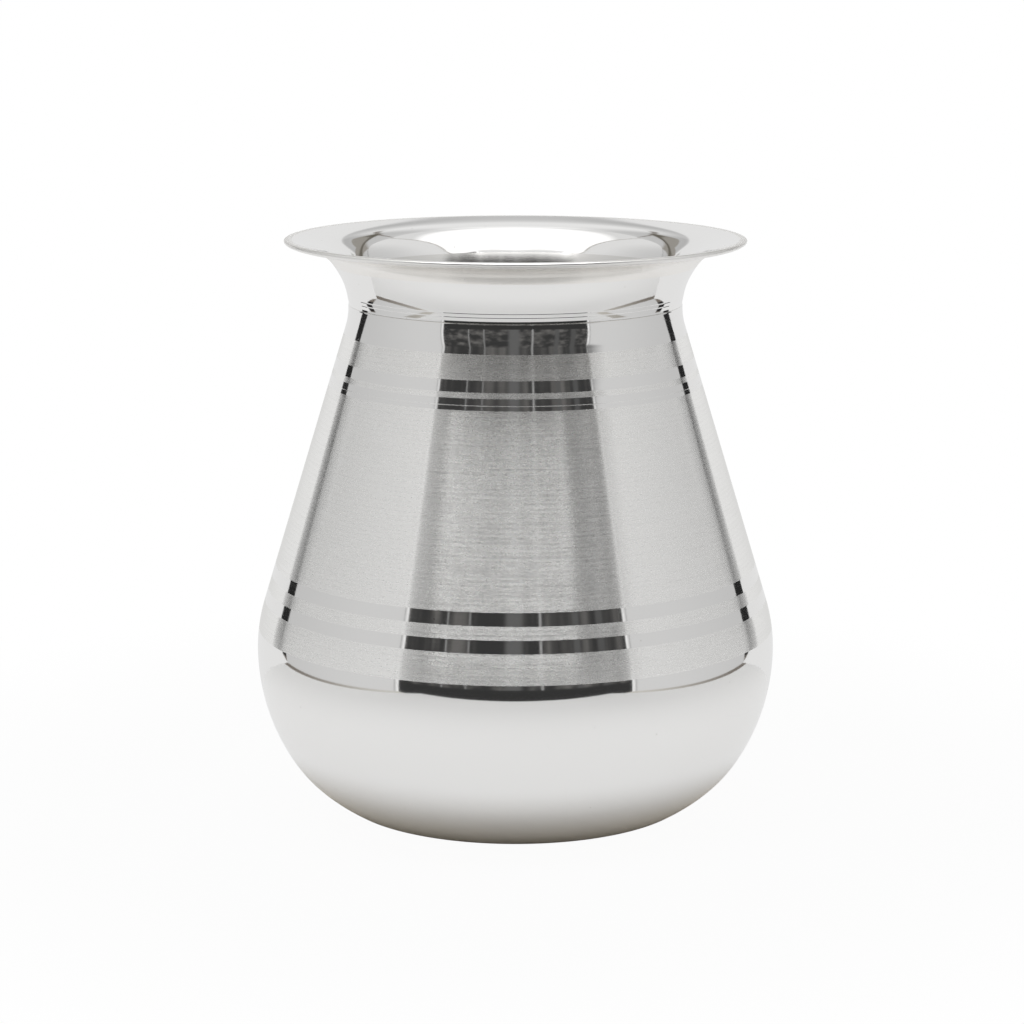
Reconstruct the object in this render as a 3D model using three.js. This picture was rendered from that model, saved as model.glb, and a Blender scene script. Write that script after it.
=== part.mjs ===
import * as THREE from 'three';

// Lota: a silver water vessel made of three spun shells, hard-soldered one into the next.
// Millimetres, +Z up, origin on the axis at the plane that the base rests on.

// Overall sizes
const height = 100;
const bodyRadius = 45.75;
const widestHeight = 27.4;
const neckRadius = 29.07;
const lipRadius = 40.1;
const footRadius = 31.1;

// The narrowest line of the neck is this far under the top of the lip
const mouthDepth = 11.95;
const neckHeight = height - mouthDepth;

// The sheet that all three shells are spun from
const wall = 1;

// Curves of the outline, from the foot up
const footAngle = THREE.MathUtils.degToRad(30.5);
const footRoundness = 0.34;
const bellyRadius = 35.2;
const bellySweep = THREE.MathUtils.degToRad(33);
const bendRadius = 28.5;
const throatRadius = 11.6;
const throatSweep = THREE.MathUtils.degToRad(30.5);
const flareRise = 4.2;
const flareReach = 6.4;
const lipAngle = THREE.MathUtils.degToRad(12);

// The base is dished, so that the vessel stands on a ring
const dishRadius = 24;
const dishDepth = 0.6;

// Lap joints, one just over the widest line and one just over the narrowest: an edge is set
// inwards and slides inside the shoulder
const waistSeamRise = 4;
const neckSeamRise = 0.55;
const waistSeamHeight = widestHeight + waistSeamRise;
const neckSeamHeight = neckHeight + neckSeamRise;
const lapHeight = 3.2;
const lapWall = 0.8;
const joggleHeight = 2;
const seamBevel = 0.15;
const solderLeg = 1.1;
const solderSag = 0.15;

// Fine lines turned in the neck, just over its seam
const turnedLines = 2;
const turnedLineStart = 1;
const turnedLineSpacing = 0.65;
const turnedLineWidth = 0.3;
const turnedLineDepth = 0.05;

const facets = 60;
const lipSteps = 5;
const dishSteps = 3;

// A point at a distance and an angle from another point
function polar(origin, radius, angle) {
  return new THREE.Vector2(
    origin.x + radius * Math.cos(angle),
    origin.y + radius * Math.sin(angle),
  );
}

function arc(centre, radius, from, to) {
  return new THREE.EllipseCurve(centre.x, centre.y, radius, radius, from, to, to < from);
}

// The cone is the straight line that touches both the bend over the widest line, which curves
// round a centre inside it, and the throat, which curves round a centre outside it.
function leanOfCone(bendCentre, throatCentre) {
  const between = throatCentre.clone().sub(bendCentre);
  return between.angle() - Math.acos((bendRadius + throatRadius) / between.length());
}

// The outside of the vessel, from the edge of its base to the underside of its lip
function outlineCurves() {
  const bellyCentre = new THREE.Vector2(bodyRadius - bellyRadius, widestHeight);
  const bendCentre = new THREE.Vector2(bodyRadius - bendRadius, widestHeight);
  const throatCentre = new THREE.Vector2(neckRadius + throatRadius, neckHeight);
  const lean = leanOfCone(bendCentre, throatCentre);

  const foot = new THREE.Vector2(footRadius, 0);
  const bellyFoot = polar(bellyCentre, bellyRadius, -bellySweep);
  const handle = footRoundness * bellyFoot.distanceTo(foot);
  const rounding = new THREE.CubicBezierCurve(
    foot,
    polar(foot, handle, footAngle),
    polar(bellyFoot, handle, -bellySweep - Math.PI / 2),
    bellyFoot,
  );

  const coneFoot = polar(bendCentre, bendRadius, lean);
  const coneTop = polar(throatCentre, throatRadius, Math.PI + lean);

  const throatTop = polar(throatCentre, throatRadius, Math.PI - throatSweep);
  const lipUnderside = polar(lipCentre(), wall / 2, lipAngle - Math.PI / 2);
  const flare = new THREE.CubicBezierCurve(
    throatTop,
    polar(throatTop, flareRise, Math.PI / 2 - throatSweep),
    polar(lipUnderside, -flareReach, lipAngle),
    lipUnderside,
  );

  return [
    { curve: rounding, steps: 6 },
    { curve: arc(bellyCentre, bellyRadius, -bellySweep, 0), steps: 5 },
    { curve: arc(bendCentre, bendRadius, 0, lean), steps: 4 },
    { curve: new THREE.LineCurve(coneFoot, coneTop), steps: 1 },
    {
      curve: arc(throatCentre, throatRadius, Math.PI + lean, Math.PI - throatSweep),
      steps: 6,
    },
    { curve: flare, steps: 8 },
  ];
}

function lipCentre() {
  return new THREE.Vector2(lipRadius - wall / 2, height - wall / 2);
}

// The outline, moved towards the axis by a depth measured square to it
function outlineAtDepth(depth) {
  const line = [];
  for (const { curve, steps } of outlineCurves()) {
    for (let step = line.length === 0 ? 0 : 1; step <= steps; step += 1) {
      const along = curve.getTangent(step / steps);
      const inwards = new THREE.Vector2(-along.y, along.x);
      line.push(curve.getPoint(step / steps).addScaledVector(inwards, depth));
    }
  }
  return line;
}

function pointAtHeight(line, level) {
  const above = Math.max(1, line.findIndex((point) => point.y >= level));
  const low = line[above - 1];
  const high = line[above];
  const share = (level - low.y) / (high.y - low.y);
  return new THREE.Vector2(low.x + (high.x - low.x) * share, level);
}

// The stretch of a rising line between two heights, with a point at each end
function stretch(line, bottom, top) {
  const least = 0.02;
  const inner = line.filter((point) => point.y > bottom + least && point.y < top - least);
  return [pointAtHeight(line, bottom), ...inner, pointAtHeight(line, top)];
}

function revolve(profile) {
  const geometry = new THREE.LatheGeometry(profile, facets);
  geometry.rotateX(Math.PI / 2);
  return geometry;
}

const outside = outlineAtDepth(0);
const inside = outlineAtDepth(wall);
const lapInside = outlineAtDepth(wall + lapWall);

// Height of the dish over the resting plane, at a radius
function dishRise(radius) {
  return dishDepth * (1 - (radius / dishRadius) ** 2);
}

// The lower body: its dished base, belly and widest line, up to the edge that the shoulder
// sits on. The edge is set in and goes on up inside the shoulder.
function bowlProfile() {
  const lapTop = waistSeamHeight + lapHeight;
  const under = [];
  const floor = [];
  for (let step = 0; step <= dishSteps; step += 1) {
    const radius = dishRadius * step / dishSteps;
    under.push(new THREE.Vector2(radius, dishRise(radius)));
    floor.unshift(new THREE.Vector2(radius, wall + dishRise(radius)));
  }
  return [
    ...under,
    ...stretch(outside, 0, waistSeamHeight),
    ...stretch(inside, waistSeamHeight, lapTop),
    ...stretch(lapInside, waistSeamHeight, lapTop).reverse(),
    ...stretch(inside, wall, waistSeamHeight - joggleHeight).reverse(),
    ...floor,
  ];
}

// The cone: its lower edge sits on the bowl, round the bowl's set-in edge, and its upper edge,
// bevelled outside, carries the neck.
function shoulderProfile() {
  const outer = stretch(outside, waistSeamHeight, neckSeamHeight - seamBevel);
  const edge = pointAtHeight(outside, neckSeamHeight);
  edge.x -= seamBevel;
  return [
    ...outer,
    edge,
    ...stretch(inside, waistSeamHeight, neckSeamHeight).reverse(),
    outer[0].clone(),
  ];
}

// A rising line with a shallow V turned in it at a height
function withTurnedLine(line, middle) {
  const low = middle - turnedLineWidth / 2;
  const high = middle + turnedLineWidth / 2;
  const bottom = pointAtHeight(line, middle);
  bottom.x -= turnedLineDepth;
  return [
    ...line.filter((point) => point.y < low),
    pointAtHeight(line, low),
    bottom,
    pointAtHeight(line, high),
    ...line.filter((point) => point.y > high),
  ];
}

// The outside of the neck. Its bevel and the shoulder's meet in a fine line round the seam.
function neckOutside() {
  const bevelTop = neckSeamHeight + seamBevel;
  const seam = pointAtHeight(outside, neckSeamHeight);
  seam.x -= seamBevel;
  let line = [seam, ...stretch(outside, bevelTop, outside[outside.length - 1].y)];
  for (let count = 0; count < turnedLines; count += 1) {
    const middle = neckSeamHeight + turnedLineStart + count * turnedLineSpacing;
    line = withTurnedLine(line, middle);
  }
  return line;
}

// The throat and the flared mouth with its rounded lip. Below the seam its edge is set in and
// goes down inside the shoulder.
function neckProfile() {
  const centre = lipCentre();
  const lip = [];
  for (let step = 1; step <= lipSteps; step += 1) {
    const angle = lipAngle - Math.PI / 2 + Math.PI * step / lipSteps;
    lip.push(polar(centre, wall / 2, angle));
  }
  const lapBottom = neckSeamHeight - lapHeight;
  const throatBottom = neckSeamHeight + joggleHeight;
  const innerTop = inside[inside.length - 1].y;
  const outer = neckOutside();
  return [
    ...outer,
    ...lip,
    ...stretch(inside, throatBottom, innerTop).slice(0, -1).reverse(),
    ...stretch(lapInside, lapBottom, neckSeamHeight).reverse(),
    ...stretch(inside, lapBottom, neckSeamHeight),
    outer[0].clone(),
  ];
}

// A fillet of solder in the corner between a set-in edge and the wall round it. It runs from
// the edge at one height, over or under it, and its face is slightly hollow.
function solderProfile(edgeHeight, legEnd) {
  const wallSide = stretch(inside, Math.min(edgeHeight, legEnd), Math.max(edgeHeight, legEnd));
  const onEdge = pointAtHeight(lapInside, edgeHeight);
  const onWall = pointAtHeight(inside, legEnd);
  const face = onEdge.clone().lerp(onWall, 0.5);
  face.x += solderSag;
  const rising = legEnd > edgeHeight;
  return rising
    ? [onEdge, ...wallSide, face, onEdge.clone()]
    : [...wallSide, onEdge, face, wallSide[0].clone()];
}

const silver = { color: 0xdedcd8, metalness: 1 };
const polished = new THREE.MeshStandardMaterial({ ...silver, roughness: 0.08 });
const satin = new THREE.MeshStandardMaterial({ ...silver, roughness: 0.28 });
const solder = new THREE.MeshStandardMaterial({ color: 0xc9c6bd, metalness: 1, roughness: 0.4 });

function piece(name, profile, material) {
  const mesh = new THREE.Mesh(revolve(profile), material);
  mesh.name = name;
  return mesh;
}

const waistLapTop = waistSeamHeight + lapHeight;
const neckLapBottom = neckSeamHeight - lapHeight;

const lota = new THREE.Group();
lota.add(piece('bowl', bowlProfile(), polished));
lota.add(piece('shoulder', shoulderProfile(), satin));
lota.add(piece('neck', neckProfile(), polished));
lota.add(piece('waist_solder', solderProfile(waistLapTop, waistLapTop + solderLeg), solder));
lota.add(piece('neck_solder', solderProfile(neckLapBottom, neckLapBottom - solderLeg), solder));

export default lota;
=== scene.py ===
import math

import bpy
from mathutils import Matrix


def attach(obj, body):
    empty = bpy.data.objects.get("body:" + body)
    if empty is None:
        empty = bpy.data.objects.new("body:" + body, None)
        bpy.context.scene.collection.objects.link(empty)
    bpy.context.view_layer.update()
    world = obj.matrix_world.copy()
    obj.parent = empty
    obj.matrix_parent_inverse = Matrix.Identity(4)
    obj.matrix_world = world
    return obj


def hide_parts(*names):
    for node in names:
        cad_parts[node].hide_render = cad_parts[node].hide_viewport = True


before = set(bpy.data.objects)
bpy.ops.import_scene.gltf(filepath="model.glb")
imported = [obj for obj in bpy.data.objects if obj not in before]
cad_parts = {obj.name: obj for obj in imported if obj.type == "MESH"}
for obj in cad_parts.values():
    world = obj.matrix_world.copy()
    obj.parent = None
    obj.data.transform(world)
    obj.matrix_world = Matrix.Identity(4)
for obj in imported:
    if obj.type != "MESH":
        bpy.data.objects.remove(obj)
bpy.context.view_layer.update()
MM = 0.001


# The bowl: the lower body, spun from one disc of silver sheet. Its base is dished, so that it
# stands on a ring. Its upper edge is set in by the sheet's thickness and goes on up inside the
# shoulder, where it is hard-soldered. The outside is polished to a mirror.
height = 100 * MM
body_radius = 45.75 * MM
widest_height = 27.4 * MM
neck_radius = 29.07 * MM
neck_height = 88.05 * MM
lip_radius = 40.1 * MM
foot_radius = 31.1 * MM
lip_angle = math.radians(12)
wall = 1 * MM
lap_wall = 0.8 * MM
lap_height = 3.2 * MM
joggle_height = 2 * MM
waist_seam = 31.4 * MM
dish_radius = 24 * MM
dish_depth = 0.6 * MM
dish_steps = 24
around = 384
one_point = 1e-8
on_axis = 1e-7


def polar(origin, radius, angle):
    """The point at a distance and an angle from another."""
    return (origin[0] + radius * math.cos(angle), origin[1] + radius * math.sin(angle))


def arc(centre, radius, start, end, steps):
    """Points of an arc, each with the direction in which the outline runs there."""
    turn = 1 if end > start else -1
    made = []
    for step in range(steps + 1):
        angle = start + (end - start) * step / steps
        along = (-turn * math.sin(angle), turn * math.cos(angle))
        made.append((polar(centre, radius, angle), along))
    return made


def bezier(a, b, c, d, steps):
    """Points of a cubic curve, each with the direction in which the outline runs there."""
    made = []
    for step in range(steps + 1):
        t = step / steps
        u = 1 - t
        point = tuple(
            u ** 3 * a[i] + 3 * u * u * t * b[i] + 3 * u * t * t * c[i] + t ** 3 * d[i]
            for i in (0, 1)
        )
        slope = [
            u * u * (b[i] - a[i]) + 2 * u * t * (c[i] - b[i]) + t * t * (d[i] - c[i])
            for i in (0, 1)
        ]
        size = math.hypot(*slope)
        made.append((point, (slope[0] / size, slope[1] / size)))
    return made


def vessel_outline():
    """The outside from the foot to the underside of the lip, as (point, direction) pairs."""
    belly_radius, belly_sweep = 35.2 * MM, math.radians(33)
    bend_radius, throat_radius = 28.5 * MM, 11.6 * MM
    throat_sweep, foot_angle, foot_roundness = math.radians(30.5), math.radians(30.5), 0.34
    flare_rise, flare_reach = 4.2 * MM, 6.4 * MM
    cone_steps = 12

    belly = (body_radius - belly_radius, widest_height)
    bend = (body_radius - bend_radius, widest_height)
    throat = (neck_radius + throat_radius, neck_height)
    apart = math.hypot(throat[0] - bend[0], throat[1] - bend[1])
    lean = math.atan2(throat[1] - bend[1], throat[0] - bend[0])
    lean -= math.acos((bend_radius + throat_radius) / apart)

    foot = (foot_radius, 0)
    belly_foot = polar(belly, belly_radius, -belly_sweep)
    handle = foot_roundness * math.dist(belly_foot, foot)
    foot_handle = polar(foot, handle, foot_angle)
    belly_handle = polar(belly_foot, handle, -belly_sweep - math.pi / 2)
    line = bezier(foot, foot_handle, belly_handle, belly_foot, steps=24)
    line += arc(belly, belly_radius, -belly_sweep, 0, steps=24)[1:]
    line += arc(bend, bend_radius, 0, lean, steps=14)[1:]

    low = polar(bend, bend_radius, lean)
    high = polar(throat, throat_radius, math.pi + lean)
    rise = math.dist(low, high)
    along = ((high[0] - low[0]) / rise, (high[1] - low[1]) / rise)
    for step in range(1, cone_steps + 1):
        point = tuple(low[i] + (high[i] - low[i]) * step / cone_steps for i in (0, 1))
        line.append((point, along))

    line += arc(throat, throat_radius, math.pi + lean, math.pi - throat_sweep, steps=28)[1:]
    lip_middle = (lip_radius - wall / 2, height - wall / 2)
    lip_under = polar(lip_middle, wall / 2, lip_angle - math.pi / 2)
    throat_top = polar(throat, throat_radius, math.pi - throat_sweep)
    rising = polar(throat_top, flare_rise, math.pi / 2 - throat_sweep)
    reaching = polar(lip_under, -flare_reach, lip_angle)
    line += bezier(throat_top, rising, reaching, lip_under, steps=44)[1:]
    return line


def at_depth(depth):
    """The outline moved inwards by a depth, as (point, outward normal) pairs."""
    return [
        ((p[0] - t[1] * depth, p[1] + t[0] * depth), (t[1], -t[0]))
        for p, t in vessel_outline()
    ]


def at_height(line, level):
    """The point and normal of a rising line at a height."""
    above = next(i for i in range(1, len(line)) if line[i][0][1] >= level)
    (a, m), (b, n) = line[above - 1], line[above]
    share = (level - a[1]) / (b[1] - a[1])
    normal = [m[i] + (n[i] - m[i]) * share for i in (0, 1)]
    size = math.hypot(*normal)
    return (a[0] + (b[0] - a[0]) * share, level), (normal[0] / size, normal[1] / size)


def stretch(line, bottom, top):
    """The part of a rising line between two heights, with a point at each end."""
    least = 0.02 * MM
    inner = [pair for pair in line if bottom + least < pair[0][1] < top - least]
    return [at_height(line, bottom)] + inner + [at_height(line, top)]


def turned_over(line):
    """The same line run the other way, as the inside face of a wall."""
    return [(point, (-normal[0], -normal[1])) for point, normal in reversed(line)]


def flat(a, b):
    """A straight face from one point to another."""
    size = math.dist(a, b)
    normal = ((b[1] - a[1]) / size, (a[0] - b[0]) / size)
    return [(a, normal), (b, normal)]


def spin(name, faces, finishes, left_flat=None):
    """Turns faces, each a finish's number and a line of (point, normal) pairs, about the axis.

    The faces follow each other round the section with the metal on their left. Each keeps its
    own normals, so that edges between faces are crisp and the curves in them are smooth. One
    finish, whose faces are cut so finely that they need no smoothing, may be left flat.
    """
    rings, points, polygons, slots, normals = [], [], [], [], []

    def ring(point):
        if rings and math.dist(rings[-1][0], point) < one_point:
            return rings[-1][1]
        first = len(points)
        if point[0] < on_axis:
            points.append((0, 0, point[1]))
            rings.append((point, [first] * around))
        else:
            for j in range(around):
                angle = 2 * math.pi * j / around
                points.append((point[0] * math.cos(angle), point[0] * math.sin(angle), point[1]))
            rings.append((point, list(range(first, first + around))))
        return rings[-1][1]

    first_point = faces[0][1][0][0]
    start = ring(first_point)
    for finish, line in faces:
        for (a, m), (b, n) in zip(line, line[1:]):
            low = ring(a)
            high = start if math.dist(b, first_point) < one_point else ring(b)
            for j in range(around):
                k = (j + 1) % around
                corners = [(low[j], m, j), (low[k], m, k), (high[k], n, k), (high[j], n, j)]
                kept = [c for i, c in enumerate(corners) if c[0] != corners[i - 1][0]]
                polygons.append([c[0] for c in kept])
                slots.append(finish)
                for _, normal, at in kept:
                    angle = 2 * math.pi * at / around
                    out = normal[0]
                    normals.append((out * math.cos(angle), out * math.sin(angle), normal[1]))

    mesh = bpy.data.meshes.new(name)
    mesh.from_pydata(points, [], polygons)
    for finish in finishes:
        mesh.materials.append(finish)
    mesh.polygons.foreach_set("material_index", slots)
    mesh.polygons.foreach_set("use_smooth", [slot != left_flat for slot in slots])
    mesh.normals_split_custom_set(normals)
    mesh.update()
    piece = bpy.data.objects.new(name, mesh)
    bpy.context.scene.collection.objects.link(piece)
    return piece


class Link:
    """An output of a node. Arithmetic on it adds Math nodes."""

    def __init__(self, tree, socket):
        self.tree = tree
        self.socket = socket

    def joined(self, operation, first, second=None):
        made = self.tree.nodes.new("ShaderNodeMath")
        made.operation = operation
        for place, value in enumerate((first, second)):
            if isinstance(value, Link):
                self.tree.links.new(value.socket, made.inputs[place])
            elif value is not None:
                made.inputs[place].default_value = value
        return Link(self.tree, made.outputs[0])

    def __add__(self, other):
        return self.joined("ADD", self, other)

    def __radd__(self, other):
        return self.joined("ADD", other, self)

    def __sub__(self, other):
        return self.joined("SUBTRACT", self, other)

    def __rsub__(self, other):
        return self.joined("SUBTRACT", other, self)

    def __mul__(self, other):
        return self.joined("MULTIPLY", self, other)

    def __rmul__(self, other):
        return self.joined("MULTIPLY", other, self)

    def __truediv__(self, other):
        return self.joined("DIVIDE", self, other)

    def __rtruediv__(self, other):
        return self.joined("DIVIDE", other, self)

    def __abs__(self):
        return self.joined("ABSOLUTE", self)

    def sine(self):
        return self.joined("SINE", self)


class Finish:
    """A node tree for one finish, with one method that adds any node."""

    def __init__(self, owner):
        owner.use_nodes = True
        self.owner = owner
        self.tree = owner.node_tree
        self.tree.nodes.clear()

    def node(self, kind, settings=None, sockets=None, output=0):
        made = self.tree.nodes.new("ShaderNode" + kind)
        for key, value in (settings or {}).items():
            setattr(made, key, value)
        for key, value in (sockets or {}).items():
            if isinstance(value, Link):
                self.tree.links.new(value.socket, made.inputs[key])
            else:
                made.inputs[key].default_value = value
        return Link(self.tree, made.outputs[output]) if made.outputs else made

    def between(self, value, low, high):
        """0 under low, 1 over high, and a smooth rise from one to the other."""
        limits = {"Value": value, "From Min": low, "From Max": high}
        return self.node("MapRange", {"interpolation_type": "SMOOTHSTEP"}, limits)

    def mix(self, share, first, second):
        colours = {"Factor": share, "A": first, "B": second}
        return self.node("Mix", {"data_type": "RGBA"}, colours, output=2)

    def bump(self, distance, height_map):
        wanted = {"Strength": 1.0, "Distance": distance, "Height": height_map}
        return self.node("Bump", sockets=wanted)

    def surface(self, shader):
        self.node("OutputMaterial", sockets={"Surface": shader})
        return self.owner


def axes(finish):
    """The object coordinates of a place, one by one."""
    place = finish.node("TexCoord", output="Object")
    outputs = finish.node("SeparateXYZ", sockets={0: place}).socket.node.outputs
    return [Link(finish.tree, outputs[i]) for i in range(3)]


def from_axis(finish, x, y):
    """How far a place is from the axis."""
    level_place = finish.node("CombineXYZ", sockets={0: x, 1: y})
    return finish.node("VectorMath", {"operation": "LENGTH"}, {0: level_place}, output="Value")


def along_the_turning(finish):
    """The two level coordinates, and height plus radius, which grows all the way up the
    outline and out over the mouth."""
    x, y, z = axes(finish)
    return x, y, z + from_axis(finish, x, y)


def turning_lines(finish, pitch, length, detail=2.0):
    """Fine lines left by turning or brushing, round the axis."""
    x, y, rise = along_the_turning(finish)
    stretched = finish.node("CombineXYZ", sockets={0: x / length, 1: y / length, 2: rise / pitch})
    wanted = {"Vector": stretched, "Scale": 1.0, "Detail": detail, "Roughness": 0.6}
    return finish.node("TexNoise", sockets=wanted)


def hairlines(finish, apart, width, centre, length):
    """Thin scratches in parts of wide circles round a far centre, as wiping leaves them. At
    scale 1 the wave's rings are 0.314 apart."""
    place = finish.node("TexCoord", output="Object")
    moved = finish.node("VectorMath", {"operation": "SUBTRACT"}, {0: place, 1: centre})
    sweep = {"wave_type": "RINGS", "rings_direction": "SPHERICAL", "wave_profile": "SAW"}
    wander = {
        "Vector": moved, "Scale": 0.314 / apart, "Distortion": 0.6, "Detail": 2.0,
        "Detail Scale": 0.3,
    }
    line = 1 - finish.between(finish.node("TexWave", sweep, wander, output=1), 0.0, width / apart)
    patches = {"Vector": moved, "Scale": 1 / length, "Detail": 1.0}
    kept = finish.between(finish.node("TexNoise", sockets=patches), 0.55, 0.62)
    return line * kept


def pits(finish, spacing, size, share=0.2):
    """Small round pits, one in a few of the cells of a grid."""
    place = finish.node("TexCoord", output="Object")
    cells = {"Vector": place, "Scale": 1 / spacing}
    away = finish.node("TexVoronoi", {"feature": "F1"}, cells)
    pick = finish.node("TexVoronoi", {"feature": "F1"}, cells, output="Color")
    chosen = finish.between(finish.node("SeparateXYZ", sockets={0: pick}), 0.99 - share, 1 - share)
    return (1 - finish.between(away, size * 0.5, size)) * chosen


silver = (0.945, 0.940, 0.930, 1)
in_the_marks = (0.80, 0.79, 0.765, 1)
brushed = (0.985, 0.98, 0.965, 1)
tarnished = (0.80, 0.79, 0.77, 1)
polishing_depth = 0.0012 * MM
brushing_depth = 0.0004 * MM


def mirror_silver(name, lines, line_roughness, haze=0.05, tone=silver):
    """Polished silver with the marks that polishing and handling leave."""
    finish = Finish(bpy.data.materials.new(name))
    fine = turning_lines(finish, pitch=0.35 * MM, length=24 * MM)
    slow = turning_lines(finish, pitch=2.4 * MM, length=60 * MM, detail=1.0)
    scratched = hairlines(
        finish, apart=9 * MM, width=0.05 * MM, centre=(0.21, -0.10, 0.16), length=14 * MM
    ) + hairlines(
        finish, apart=13 * MM, width=0.04 * MM, centre=(-0.13, -0.20, -0.09), length=18 * MM
    )
    pitted = pits(finish, spacing=2.6 * MM, size=0.07, share=0.3)
    marks = scratched * 0.4 + pitted
    roughness = haze + (fine - 0.35) * line_roughness + (slow - 0.5) * 0.03 + marks * 0.12
    height_map = fine * lines + slow * 0.15 - pitted * 2.0 - scratched * 0.3
    return finish.surface(finish.node("BsdfPrincipled", sockets={
        "Base Color": finish.mix(finish.between(marks, 0.0, 1.0), tone, in_the_marks),
        "Metallic": 1.0,
        "Roughness": roughness,
        "Normal": finish.bump(polishing_depth, height_map),
    }))


def satin_silver(name, broad, texture, anisotropy, tone=brushed):
    """Silver brushed round the axis: sharp along the brushing and very broad across it."""
    finish = Finish(bpy.data.materials.new(name))
    rise = along_the_turning(finish)[2]
    groove_pitch = 0.53 * MM
    wander = turning_lines(finish, pitch=4 * MM, length=60 * MM, detail=1.0)
    grooves = (rise * (2 * math.pi / groove_pitch) + wander * 8.0).sine()
    depth = turning_lines(finish, pitch=0.8 * MM, length=6 * MM, detail=1.0)
    dashes = turning_lines(finish, pitch=0.17 * MM, length=0.75 * MM, detail=1.0)
    streaks = turning_lines(finish, pitch=0.23 * MM, length=9 * MM)
    scratched = hairlines(
        finish, apart=3.7 * MM, width=0.12 * MM, centre=(0.17, -0.08, 0.02), length=9 * MM
    )
    marks = grooves * depth * 0.16 + (dashes - 0.5) * 0.85 + (streaks - 0.5) * 0.75
    return finish.surface(finish.node("BsdfAnisotropic", {"distribution": "BECKMANN"}, {
        "Color": tone,
        "Roughness": broad + marks * texture - scratched * 0.035,
        "Anisotropy": anisotropy,
        "Normal": finish.bump(brushing_depth, streaks),
    }))


outside = at_depth(0)
inside = at_depth(wall)
lap_inside = at_depth(wall + lap_wall)
mirror = mirror_silver("silver_mirror_bowl", lines=0.25, line_roughness=0.02)
spun = satin_silver(
    "silver_spun_inside", broad=0.19, texture=0.05, anisotropy=0.73, tone=tarnished
)


def dish(radius, rise):
    """A point of the dished base, raised by the sheet or not, and the normal under it."""
    slope = -2 * dish_depth * radius / dish_radius ** 2
    size = math.hypot(slope, 1)
    level = rise + dish_depth * (1 - (radius / dish_radius) ** 2)
    return (radius, level), (slope / size, -1 / size)


lap_top = waist_seam + lap_height
dish_radii = [dish_radius * step / dish_steps for step in range(dish_steps + 1)]
under = [dish(radius, 0) for radius in dish_radii]
bowl_floor = turned_over([dish(radius, wall) for radius in dish_radii])
belly_outside = stretch(outside, 0, waist_seam)
lap_outer = stretch(inside, waist_seam, lap_top)
lap_inner = turned_over(stretch(lap_inside, waist_seam, lap_top))
belly_inside = turned_over(stretch(inside, wall, waist_seam - joggle_height))
bowl_faces = [
    (0, under),
    (0, flat(under[-1][0], belly_outside[0][0])),
    (0, belly_outside),
    (1, flat(belly_outside[-1][0], lap_outer[0][0])),
    (1, lap_outer),
    (1, flat(lap_outer[-1][0], lap_inner[0][0])),
    (1, lap_inner),
    (1, flat(lap_inner[-1][0], belly_inside[0][0])),
    (1, belly_inside),
    (1, flat(belly_inside[-1][0], bowl_floor[0][0])),
    (1, bowl_floor),
]
bowl = spin("bowl_spun", bowl_faces, [mirror, spun])
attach(bowl, "root")
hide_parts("bowl")


# The shoulder: the tall cone between the two seams, spun from silver sheet. It was brushed on
# the lathe to a satin, and narrow bands were then burnished bright at both ends.
neck_seam = 88.6 * MM
bands = [
    (36.43, 38.55), (40.75, 42.90), (74.62, 75.34), (75.46, 76.55), (77.50, 79.42), (83.57, 88.32),
]
edge_steps = 6
burnished = (0.920, 0.915, 0.905, 1)
satin = satin_silver("silver_satin_shoulder", broad=0.265, texture=0.095, anisotropy=0.865)
band_mirror = mirror_silver(
    "silver_mirror_bands", lines=0.9, line_roughness=0.05, tone=burnished
)
shoulder_faces = []
level = waist_seam
for low, high in bands:
    low, high = low * MM, high * MM
    shoulder_faces.append((0, stretch(outside, level, low)))
    shoulder_faces.append((1, stretch(outside, low, high)))
    level = high
cone_inside = turned_over(stretch(inside, waist_seam, neck_seam))
edge_radius = neck_seam - level
edge_middle = (at_height(outside, level)[0][0] - edge_radius, level)
edge = []
for step in range(edge_steps + 1):
    angle = math.pi / 2 * step / edge_steps
    edge.append((polar(edge_middle, edge_radius, angle), (math.cos(angle), math.sin(angle))))
shoulder_faces += [
    (1, edge),
    (2, flat(edge[-1][0], cone_inside[0][0])),
    (2, cone_inside),
    (2, flat(cone_inside[-1][0], shoulder_faces[0][1][0][0])),
]
shoulder = spin("shoulder_spun", shoulder_faces, [satin, band_mirror, spun])
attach(shoulder, "root")
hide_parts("shoulder")


# The neck: a short spun throat that flares into a wide mouth with a rounded lip, polished
# outside and over the mouth. Its lower edge is set in and goes down inside the shoulder, and
# two fine lines are turned in it over the seam.
neck_mirror = mirror_silver("silver_mirror_neck", lines=0.7, line_roughness=0.03)
flange_mirror = mirror_silver(
    "silver_mirror_flange", lines=0.7, line_roughness=0.05, haze=0.23,
    tone=(0.970, 0.950, 0.920, 1),
)
lip_satin = mirror_silver(
    "silver_lip", lines=0.2, line_roughness=0.03, haze=0.34, tone=(0.950, 0.940, 0.920, 1)
)
set_in = 0.09 * MM
foot_top = neck_seam + 0.32 * MM
lean_top = neck_seam + 1.5 * MM
turned_lines = 2
turned_line_start = 1.0 * MM
turned_line_spacing = 0.65 * MM
turned_line_half = 0.10 * MM
turned_line_depth = 0.018 * MM
flange_under = 95.4 * MM
spun_top = 94.1 * MM
lip_reach = 1.2 * MM
lip_steps = 80


def turned_line(line, middle):
    """The lower edge, the bottom and the upper edge of a shallow V at a height of a line."""
    bottom = at_height(line, middle)[0]
    return (
        at_height(line, middle - turned_line_half)[0],
        (bottom[0] - turned_line_depth, middle),
        at_height(line, middle + turned_line_half)[0],
    )


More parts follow.
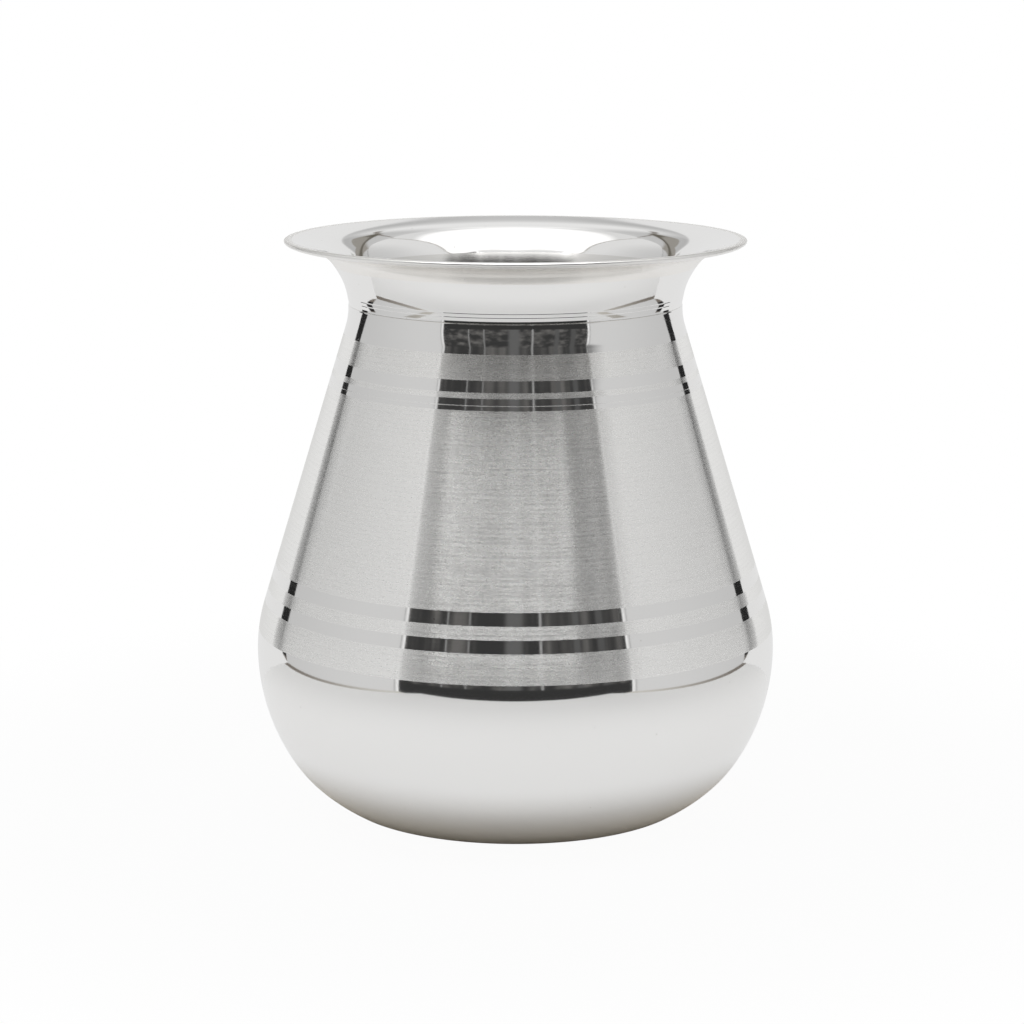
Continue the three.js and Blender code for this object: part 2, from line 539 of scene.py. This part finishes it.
def leaned(line):
    """The outside of the neck, which leans out faster than the outline just over its foot."""
    made = []
    for (across, up), normal in line:
        rest = max(0, 1 - (up - foot_top) / (lean_top - foot_top))
        lean = 2 * set_in * rest / (lean_top - foot_top)
        turn = math.atan2(normal[1], normal[0]) - math.atan(lean)
        made.append(((across - set_in * rest * rest, up), (math.cos(turn), math.sin(turn))))
    return made


neck_faces = []
neck_outside = leaned(stretch(outside, foot_top, outside[-1][0][1]))
foot_across = neck_outside[0][0][0]
seam_foot = (foot_across, neck_seam)
neck_faces.append((0, flat(seam_foot, neck_outside[0][0])))
level = foot_top
for count in range(turned_lines):
    middle = neck_seam + turned_line_start + count * turned_line_spacing
    low, bottom, high = turned_line(neck_outside, middle)
    neck_faces.append((0, stretch(neck_outside, level, low[1])))
    neck_faces.append((0, flat(low, bottom)))
    neck_faces.append((0, flat(bottom, high)))
    level = high[1]
neck_faces.append((0, stretch(neck_outside, level, flange_under)))
lip_tip = polar((lip_radius - wall / 2, height - wall / 2), wall / 2, lip_angle)
lip_middle = polar(lip_tip, -lip_reach, lip_angle)
under_end = polar(lip_middle, wall / 2, lip_angle - math.pi / 2)[1]
over_end = polar(lip_middle, wall / 2, lip_angle + math.pi / 2)[1]
neck_faces.append((2, stretch(neck_outside, flange_under, under_end)))
mouth_inside = turned_over(stretch(inside, spun_top, over_end))
lip = [neck_faces[-1][1][-1]]
for step in range(1, lip_steps):
    angle = math.pi * step / lip_steps - math.pi / 2
    forward, aside = lip_reach * math.cos(angle), wall / 2 * math.sin(angle)
    facing = math.atan2(lip_reach * math.sin(angle), wall / 2 * math.cos(angle)) + lip_angle
    place = polar(polar(lip_middle, forward, lip_angle), aside, lip_angle + math.pi / 2)
    lip.append((place, (math.cos(facing), math.sin(facing))))
lip.append(mouth_inside[0])
neck_faces.append((3, lip))
neck_faces.append((0, mouth_inside))
throat_inside = turned_over(stretch(inside, neck_seam + joggle_height, spun_top))
lap_bottom = neck_seam - lap_height
lap_hidden = turned_over(stretch(lap_inside, lap_bottom, neck_seam))
lap_face = stretch(inside, lap_bottom, neck_seam)
neck_faces += [
    (1, throat_inside),
    (1, flat(throat_inside[-1][0], lap_hidden[0][0])),
    (1, lap_hidden),
    (1, flat(lap_hidden[-1][0], lap_face[0][0])),
    (1, lap_face),
    (1, flat(lap_face[-1][0], seam_foot)),
]
neck_finishes = [neck_mirror, spun, flange_mirror, lip_satin]
neck = spin("neck_spun", neck_faces, neck_finishes, left_flat=3)
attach(neck, "root")
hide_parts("neck")


# The two solder seams: rings of hard solder that ran into the corners between each set-in edge
# and the shoulder's wall, and froze there with a slightly hollow, dull and pitted face.
solder_leg = 1.1 * MM
solder_sag = 0.15 * MM
solder_steps = 8
solder_dark = (0.66, 0.63, 0.57, 1)
solder_light = (0.80, 0.78, 0.73, 1)


def dull_solder(name):
    finish = Finish(bpy.data.materials.new(name))
    place = finish.node("TexCoord", output="Object")
    blotches = finish.node("TexNoise", sockets={"Vector": place, "Scale": 900.0, "Detail": 4.0})
    pitted = pits(finish, spacing=0.9 * MM, size=0.2)
    return finish.surface(finish.node("BsdfPrincipled", sockets={
        "Base Color": finish.mix(finish.between(blotches, 0.3, 0.7), solder_dark, solder_light),
        "Metallic": 1.0,
        "Roughness": 0.34 + blotches * 0.2,
        "Normal": finish.bump(0.05 * MM, blotches * 1.5 - pitted),
    }))


def solder_ring(name, node, edge_height, leg_end, finish):
    """A fillet from a set-in edge to the wall round it, with a hollow face."""
    on_edge = at_height(lap_inside, edge_height)[0]
    on_wall = at_height(inside, leg_end)[0]
    rising = leg_end > edge_height
    wall_side = stretch(inside, min(edge_height, leg_end), max(edge_height, leg_end))
    hollow = []
    for step in range(solder_steps + 1):
        share = step / solder_steps
        sag = solder_sag * 4 * share * (1 - share)
        ends = (on_wall, on_edge) if rising else (on_edge, on_wall)
        point = [ends[0][i] + (ends[1][i] - ends[0][i]) * share for i in (0, 1)]
        hollow.append((point[0] + sag, point[1]))
    face = []
    for step, point in enumerate(hollow):
        before, after = hollow[max(step - 1, 0)], hollow[min(step + 1, solder_steps)]
        size = math.dist(before, after)
        face.append((point, ((after[1] - before[1]) / size, (before[0] - after[0]) / size)))
    corner = wall_side[0][0] if rising else wall_side[-1][0]
    if rising:
        faces = [(0, flat(on_edge, corner)), (0, wall_side), (0, face)]
    else:
        faces = [(0, wall_side), (0, flat(corner, on_edge)), (0, face)]
    ring = spin(name, faces, [finish])
    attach(ring, "root")
    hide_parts(node)


solder = dull_solder("silver_solder_dull")
solder_ring("waist_solder_fillet", "waist_solder", lap_top, lap_top + solder_leg, solder)
solder_ring("neck_solder_fillet", "neck_solder", lap_bottom, lap_bottom - solder_leg, solder)


# The place where it stands: a small white light tent of cloth, 40 cm wide, lit from the top and
# open at the front onto a dark room. The camera sees only the pale floor and white, and the
# cloth shows in the silver. A sheet sweeps up from the floor at the back.
def panel(name, rows, material, seen=False):
    """A sheet given as rows of points, each row as long as the next."""
    count = len(rows[0])
    corners = [point for row in rows for point in row]
    faces = []
    for i in range(len(rows) - 1):
        for j in range(count - 1):
            k = i * count + j
            faces.append([k, k + 1, k + 1 + count, k + count])
    mesh = bpy.data.meshes.new(name)
    mesh.from_pydata(corners, [], faces)
    mesh.materials.append(material)
    piece = bpy.data.objects.new(name, mesh)
    bpy.context.scene.collection.objects.link(piece)
    piece.visible_camera = seen
    return piece


def glowing(name, build):
    """Cloth with light behind it: build gives its brightness from its node tree."""
    finish = Finish(bpy.data.materials.new(name))
    colour = build(finish)
    return finish.surface(finish.node("BsdfPrincipled", sockets={
        "Base Color": (0, 0, 0, 1),
        "Specular IOR Level": 0.0,
        "Emission Color": colour,
        "Emission Strength": 1.0,
    }))


def grey(level):
    return (level, level, level, 1)


half_width = 200 * MM
front_edge = -186 * MM
roof_front = 345 * MM
roof_slope = 0.2
wall_back = [
    (66, 0), (85, 40), (101, 72), (115, 105), (159, 200), (194, 228), (212, 300), (222, 427),
]
sheet_line = [
    (64, 0), (84, 6), (103, 18), (125, 40), (145, 70), (160, 105), (177, 150), (190, 200),
    (201, 250), (210, 300), (216, 360), (222, 427),
]


def side_cloth(finish):
    """The side walls: hemmed in front, brighter near the roof, and shaded at the right front."""
    x, y, z = axes(finish)
    right = finish.between(x, -0.1, 0.1)
    cloth = finish.mix(finish.between(y, -120 * MM, 110 * MM), grey(0.64), grey(0.56))
    cloth = finish.mix(finish.between(z, 0.22, 0.33), cloth, grey(0.75))
    shaded = finish.between(z, 0.16, 0.19) * (1 - finish.between(y, -0.130, -0.112))
    cloth = finish.mix(shaded * right, cloth, grey(0.12))
    hem, thread = -180 * MM, -175 * MM
    past_hem = finish.between(y, hem - 1 * MM, hem + 1 * MM) + finish.between(z, 0.15, 0.20)
    hemmed = finish.mix(past_hem, grey(0.88), cloth)
    off_thread = finish.between(abs(y - thread), 0.8 * MM, 1.6 * MM)
    threaded = finish.mix(off_thread, grey(0.35), hemmed)
    under_roof = (y - front_edge) * roof_slope + roof_front - z
    return finish.mix(finish.between(under_roof, 0.005, 0.008), (0.36, 0.34, 0.31, 1), threaded)


def sheet_cloth(finish):
    """The sheet at the back: shaded at half height, brighter near the roof, and with painted shade
    in the corners, as a darker patch, a dark line along a fold that slopes up to each side, and a
    dark round crease over it."""
    fold_slope, fold_height = 1.18, 0.210
    crease_middle, crease_radius = (0.088, 0.215, 0), 0.058
    x, _, z = axes(finish)
    side = abs(x)
    cloth = grey(0.78)
    for low, high, level in ((0.174, 0.180, 0.54), (0.182, 0.235, 0.82), (0.33, 0.42, 1.0)):
        cloth = finish.mix(finish.between(z, low, high), cloth, grey(level))
    # Painted shade: over half height the sheet darkens towards the sides.
    spread = finish.between(side / (z - 0.14), 0.07, 0.36) * finish.between(z, 0.176, 0.186)
    cloth = finish.mix(spread * 0.7, cloth, grey(0.42))
    # Painted shade in the corners: a darker patch where the cloth is gathered, a dark line along
    # the fold and a darker round crease.
    over = z - side * fold_slope
    shaded = (1 - finish.between(over, 0.206, fold_height)) * finish.between(side, 0.028, 0.036)
    reach = finish.between(z, 0.204, 0.208) + finish.between(side, 0.105, 0.109)
    gathered_shade = shaded * finish.between(reach, 0.0, 1.0) * (1 - finish.between(z, 0.255, 0.285))
    gathered_shade = gathered_shade * finish.between(z * 0.7 + 0.0136 - side, -0.002, 0.002)
    corner = finish.mix(gathered_shade, cloth, (0.31, 0.295, 0.27, 1))
    fold = 1 - finish.between(abs(over - fold_height), 0.002, 0.005)
    fold = fold * finish.between(side, 0.004, 0.012)
    corner = finish.mix(fold, corner, (0.24, 0.22, 0.20, 1))
    ring = finish.node("VectorMath", {"operation": "DISTANCE"}, {
        0: finish.node("CombineXYZ", sockets={0: side, 1: z}), 1: crease_middle,
    }, output="Value")
    crease = 1 - finish.between(abs(ring - crease_radius), 0.003, 0.014)
    crease = crease * finish.between(side + (z - crease_middle[1]) * 0.6, 0.045, 0.065)
    return finish.mix(crease, corner, (0.13, 0.12, 0.10, 1))


def roof_cloth(finish):
    """The roof, with the lamp over its front, to the left of the middle, and painted shade at the
    right front corner. It is dimmer towards the back corners."""
    x, y, _ = axes(finish)
    cloth = finish.mix(finish.between(y + abs(x) * 0.8, 0.19, 0.26), grey(1.12), grey(0.72))
    # Painted shade: a dark patch at the roof's right front corner.
    right_front_shade = finish.between(x, 0.112, 0.120) * (1 - finish.between(y, -0.150, -0.136))
    cloth = finish.mix(right_front_shade, cloth, grey(0.08))
    across = finish.between(x, -0.150, -0.140) * (1 - finish.between(x, 0.102, 0.110))
    lamp = finish.mix(finish.between(y - abs(x) * 0.2, -0.164, -0.106), grey(0.78), grey(4.3))
    return finish.mix(across * (1 - finish.between(y, -0.030, -0.010)), cloth, lamp)


def dark_room(finish):
    """The room in front: dim, with vague patches and a few upright strips of light."""
    place = finish.node("TexCoord", output="Object")
    x = axes(finish)[0]
    patches = finish.node("TexNoise", sockets={"Vector": place, "Scale": 5.0, "Detail": 4.0})
    dim = finish.mix(finish.between(patches, 0.42, 0.72), grey(0.040), (0.16, 0.155, 0.15, 1))
    strips = (
        (-0.73, 0.010, 0.30), (-0.46, 0.010, 0.24), (-0.02, 0.075, 0.12), (0.24, 0.012, 0.36),
        (0.63, 0.040, 0.10), (0.97, 0.060, 0.09),
    )
    for middle, half, glow in strips:
        strip = 1 - finish.between(abs(x - middle), half * 0.6, half * 1.4)
        dim = finish.mix(strip, dim, grey(glow))
    return dim


side = glowing("tent_side_cloth", side_cloth)
sheet = glowing("tent_sheet_cloth", sheet_cloth)
roof = glowing("tent_roof_cloth", roof_cloth)
room = glowing("dark_room", dark_room)
# Painted shade: the dark panels beyond the side walls stand for the shadowed gap between each side
# wall and the sheet.
gap = glowing("gap_painted_shade", lambda finish: grey(0.02))

gap_front, gap_back, gap_top = 0.03, 0.3, 0.42
wall_top = wall_back[-1][1]
for mark, x in (("left", -half_width), ("right", half_width)):
    front = [(x, front_edge, z * roof_front / wall_top) for _, z in wall_back]
    back = [(x, y * MM, z * MM) for y, z in wall_back]
    panel("tent_side_" + mark, [front, back], side)
    out = x * 1.2
    panel("tent_gap_" + mark, [
        [(out, gap_front, 0), (out, gap_back, 0)],
        [(out, gap_front, gap_top), (out, gap_back, gap_top)],
    ], gap)
panel("tent_sheet", [
    [(x, y * MM, z * MM) for x in (-half_width, half_width)] for y, z in sheet_line
], sheet)
roof_back = 0.225
roof_rear = roof_front + (roof_back - front_edge) * roof_slope
panel("tent_roof", [
    [(-half_width, front_edge, roof_front), (half_width, front_edge, roof_front)],
    [(-half_width, roof_back, roof_rear), (half_width, roof_back, roof_rear)],
], roof)
room_half, room_front, room_bottom, room_top = 2.0, -1.2, -1.0, 2.5
panel("dark_room", [
    [(-room_half, room_front, room_bottom), (room_half, room_front, room_bottom)],
    [(-room_half, room_front, room_top), (room_half, room_front, room_top)],
], room)


# The floor: a white sheet that comes out under the tent's front. To the camera it is nearly all
# white, with a faint shadow round the foot. In the silver it is dimmer, with a bare strip at
# each side of it and the dark floor of the room in front.
floor_reach = 3
sheet_front = -229 * MM
sheet_half = 178 * MM
floor_finish = Finish(bpy.data.materials.new("floor_sheet"))
x, y, _ = axes(floor_finish)
path = floor_finish.node("LightPath").socket.node.outputs
camera_ray = Link(floor_finish.tree, path["Is Camera Ray"])
glossy_ray = Link(floor_finish.tree, path["Is Glossy Ray"])
through_ray = Link(floor_finish.tree, path["Is Transmission Ray"])
white = floor_finish.node("Emission", sockets={"Color": (1, 1, 1, 1), "Strength": 1.0})
reach = from_axis(floor_finish, x, y)
far = floor_finish.between(reach, 0.07, 0.16)
# Painted warm tone of shade: the sheet is warmer round the foot, so that the shadow there reads
# warm in the silver.
warm_shade_under_foot = (0.94, 0.89, 0.80, 1)
white_cloth = (0.70, 0.70, 0.696, 1)
cloth_colour = floor_finish.mix(
    floor_finish.between(reach, 0.033, 0.049), warm_shade_under_foot, white_cloth
)
cloth = floor_finish.node("BsdfPrincipled", sockets={
    "Base Color": cloth_colour, "Roughness": 0.8, "Specular IOR Level": 0.1,
})
on_sheet = (
    floor_finish.between(y, sheet_front - 0.5 * MM, sheet_front)
    * (1 - floor_finish.between(abs(x), sheet_half, sheet_half + 1 * MM))
)
# Painted shadow: in the silver the sheet's added white glow fades out towards the foot, which
# paints part of the shadow round it, and the glow is a little weaker at the sides.
lit = floor_finish.between(reach, 0.031, 0.049)
seen_by_camera = camera_ray * (0.955 + far * 0.045)
seen_in_silver = (glossy_ray + through_ray) * lit * (0.58 - far * 0.20)
wide = floor_finish.between(abs(x), 0.05, 0.13)
seen_share = (seen_by_camera + seen_in_silver) * (1 - wide * (1 - camera_ray) * 0.12)
near_sheet = floor_finish.node("MixShader", sockets={0: seen_share, 1: cloth, 2: white})
# Painted light: the bare table strips glow, brighter at the front and darker towards the back, and
# the room's floor in front glows dimly.
lit_table_front = (0.54, 0.52, 0.48, 1)
shaded_table_back = (0.17, 0.15, 0.13, 1)
bare = floor_finish.between(y, -0.170, 0.065)
strip_colour = floor_finish.mix(bare, lit_table_front, shaded_table_back)
inside_tent = floor_finish.between(y, front_edge, front_edge + 1 * MM)
off_colour = floor_finish.mix(inside_tent, grey(0.035), strip_colour)
table = floor_finish.node("Emission", sockets={"Color": off_colour, "Strength": 1.0})
off_sheet = (1 - on_sheet) * (1 - camera_ray)
floor = floor_finish.surface(
    floor_finish.node("MixShader", sockets={0: off_sheet, 1: near_sheet, 2: table})
)
panel("floor", [
    [(-floor_reach, -floor_reach, 0), (floor_reach, -floor_reach, 0)],
    [(-floor_reach, floor_reach, 0), (floor_reach, floor_reach, 0)],
], floor, seen=True)


# The surround: plain white all round. The camera and the silver see it at full white, and as a
# light it is a little over half as strong.
world = bpy.data.worlds.new("white_surround")
bpy.context.scene.world = world
surround = Finish(world)
path = surround.node("LightPath").socket.node.outputs
seen = (
    Link(surround.tree, path["Is Camera Ray"])
    + Link(surround.tree, path["Is Glossy Ray"])
    + Link(surround.tree, path["Is Transmission Ray"])
)
brightness = 0.55 + seen * 0.45
background = surround.node("Background", sockets={"Color": (1, 1, 1, 1), "Strength": brightness})
surround.node("OutputWorld", sockets={"Surface": background})


# The camera: a long lens half a metre in front, a little over the mouth's height, that looks
# slightly down, as the photograph was taken.
tilt_down = 11.292
lens = bpy.data.cameras.new("photo_camera")
lens.lens = 102.9
lens.sensor_width = 36
lens.clip_start = 0.01
lens.clip_end = 20
camera = bpy.data.objects.new("photo_camera", lens)
camera.location = (-0.6 * MM, -507.4 * MM, 152.6 * MM)
camera.rotation_euler = (math.radians(90 - tilt_down), 0, 0)
bpy.context.scene.collection.objects.link(camera)
bpy.context.scene.camera = camera
bpy.context.scene.view_settings.view_transform = "Standard"
